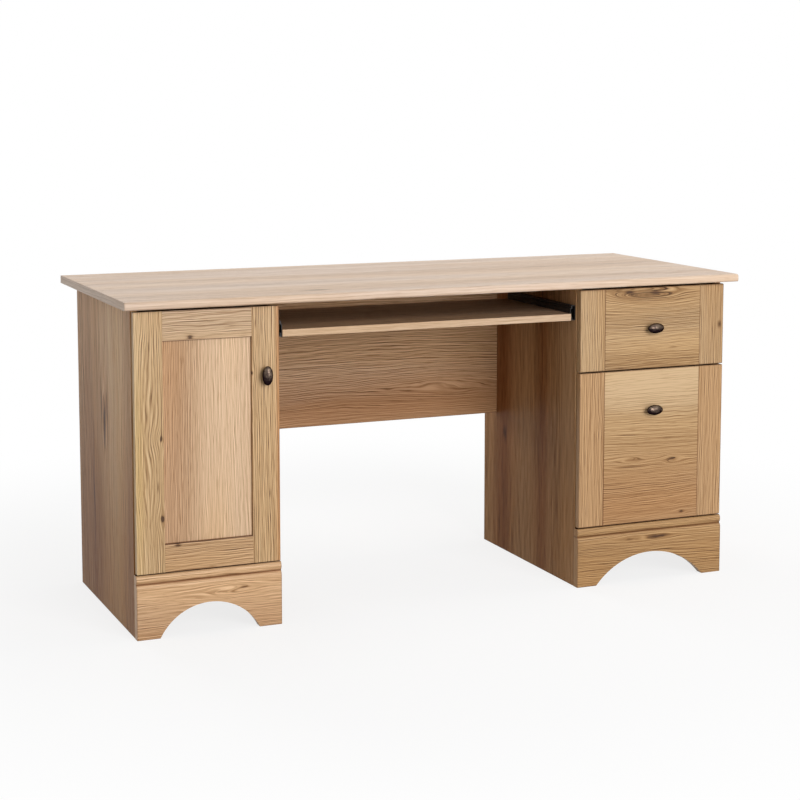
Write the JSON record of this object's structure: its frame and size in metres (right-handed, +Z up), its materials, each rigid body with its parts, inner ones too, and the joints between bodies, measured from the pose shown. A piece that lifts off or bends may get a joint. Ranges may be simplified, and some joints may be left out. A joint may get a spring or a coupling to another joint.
{
  "type": "computer desk",
  "caption": "Pedestal computer desk in light oak laminate with a panelled cupboard, drawers, a sliding keyboard tray, a modesty panel and arched plinths.",
  "frame": {"origin": "on the floor, under the middle of the desktop", "axes": "+X to the user's right, +Y to the back, +Z up"},
  "size_m": [1.5, 0.602, 0.73],
  "materials": {
    "oak_top": "satin wood-grain laminate",
    "oak_panel": "satin wood-grain laminate",
    "oak_front": "satin wood-grain laminate",
    "oak_inside": "satin wood-grain laminate",
    "hardboard": "plain hardboard",
    "drawer_box": "paper-foil wrapped board",
    "raw_wood": "bare",
    "bronze": "dark bronze, satin",
    "black_steel": "black, satin",
    "slide_steel": "zinc plated",
    "zinc": "zinc plated",
    "bumper": "translucent soft",
    "rail_plastic": "moulded"
  },
  "bodies": {
    "carcass": {"cam_bolts": "zinc", "cam_locks": "zinc", "carcass_screws": "zinc", "cupboard_shelf": "oak_inside", "desktop": "oak_top", "dowels": "raw_wood", "file_drawer_channels": "slide_steel", "front_bumpers": "bumper", "hinge_arms": "zinc", "hinge_plates": "zinc", "left_back_panel": "hardboard", "left_bottom_panel": "oak_inside", "left_end_panel": "oak_panel", "left_inner_upright": "oak_panel", "left_plinth": "oak_front", "modesty_panel": "oak_panel", "plinth_blocks": "raw_wood", "right_back_panel": "hardboard", "right_bottom_panel": "oak_inside", "right_end_panel": "oak_panel", "right_inner_upright": "oak_panel", "right_plinth": "oak_front", "shelf_pins": "zinc", "tray_channels": "black_steel", "upper_drawer_channels": "slide_steel"},
    "door": {"door_bottom_rail": "oak_front", "door_hinge_stile": "oak_front", "door_knob": "bronze", "door_knob_screw": "zinc", "door_knob_stile": "oak_front", "door_panel": "oak_front", "door_top_rail": "oak_front", "hinge_cup_screws": "zinc", "hinge_cups": "zinc", "hinge_pins": "zinc"},
    "file_drawer": {"file_drawer_back": "drawer_box", "file_drawer_bottom": "hardboard", "file_drawer_front": "oak_front", "file_drawer_front_stiles": "oak_front", "file_drawer_knob": "bronze", "file_drawer_knob_screw": "zinc", "file_drawer_left_side": "drawer_box", "file_drawer_right_side": "drawer_box", "file_drawer_runner_screws": "zinc", "file_drawer_runners": "slide_steel", "file_rails": "rail_plastic"},
    "file_slide": {"file_slide_middles": "slide_steel"},
    "keyboard_tray": {"keyboard_tray": "oak_top", "tray_runner_screws": "zinc", "tray_runners": "black_steel"},
    "upper_drawer": {"upper_drawer_back": "drawer_box", "upper_drawer_bottom": "hardboard", "upper_drawer_front": "oak_front", "upper_drawer_front_stiles": "oak_front", "upper_drawer_knob": "bronze", "upper_drawer_knob_screw": "zinc", "upper_drawer_left_side": "drawer_box", "upper_drawer_right_side": "drawer_box", "upper_drawer_runner_screws": "zinc", "upper_drawer_runners": "slide_steel"}
  },
  "joints": [
    {"name": "door_hinge", "type": "hinge", "parent": "carcass", "child": "door", "pos_m": [-0.718, -0.269, 0.42425], "axis": [0, 0, -1], "range_deg": [0, 105]},
    {"name": "upper_drawer_slide", "type": "slide", "parent": "carcass", "child": "upper_drawer", "axis": [0, -1, 0], "range_m": [0, 0.31]},
    {"name": "file_drawer_slide", "type": "slide", "parent": "carcass", "child": "file_drawer", "axis": [0, -1, 0], "range_m": [0, 0.4]},
    {"name": "file_slide_extension", "type": "slide", "parent": "carcass", "child": "file_slide", "axis": [0, -1, 0], "range_m": [0, 0.2]},
    {"name": "keyboard_tray_slide", "type": "slide", "parent": "carcass", "child": "keyboard_tray", "axis": [0, -1, 0], "range_m": [0, 0.24]}
  ],
  "couplings": [
    {"joint": "file_slide_extension", "follows": "file_drawer_slide", "ratio": 0.5}
  ]
}
